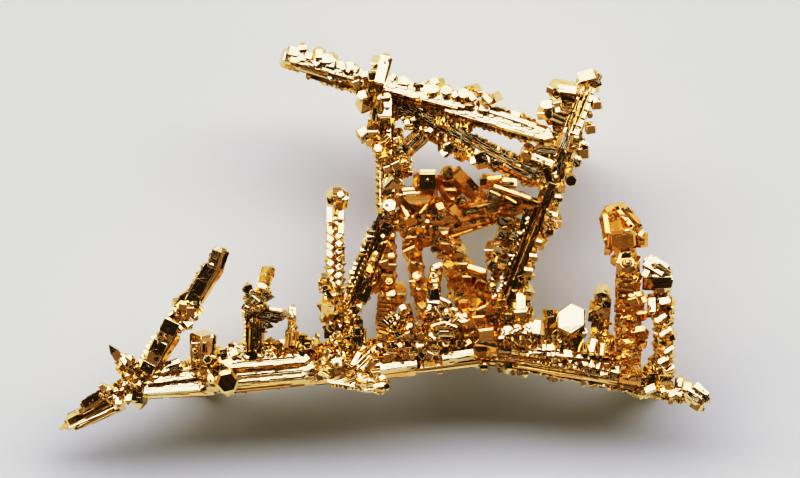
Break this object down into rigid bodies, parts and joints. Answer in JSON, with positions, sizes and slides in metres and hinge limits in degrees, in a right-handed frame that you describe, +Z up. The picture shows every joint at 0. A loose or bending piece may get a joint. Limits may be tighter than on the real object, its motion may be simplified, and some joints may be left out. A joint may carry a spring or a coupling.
{
  "type": "gold crystal",
  "caption": "A branching crystal of native gold lying on its back: a long stem with upright posts, a slanting upright and a top bar, all grown over with small faceted crystals",
  "frame": {"origin": "centre of the footprint, on the floor that the specimen lies on", "axes": "+Z up from the floor, +X along the long stem towards its end crystal, +Y towards the top bar"},
  "size_m": [0.0219, 0.013, 0.005],
  "materials": {
    "gold": "bright natural crystal faces of native gold"
  },
  "bodies": {
    "root": {"left_stem": "gold", "right_stem": "gold", "right_upright": "gold", "top_bar": "gold", "upper_post": "gold", "fan": "gold", "slanted_post": "gold", "left_post": "gold", "second_bar": "gold", "front_spur": "gold", "right_column": "gold", "left_column": "gold", "middle_column": "gold", "front_column": "gold", "white_plate_cluster": "gold", "right_post": "gold", "outer_post": "gold", "left_blade": "gold", "left_prong": "gold", "stubby_post": "gold"}
  },
  "joints": []
}
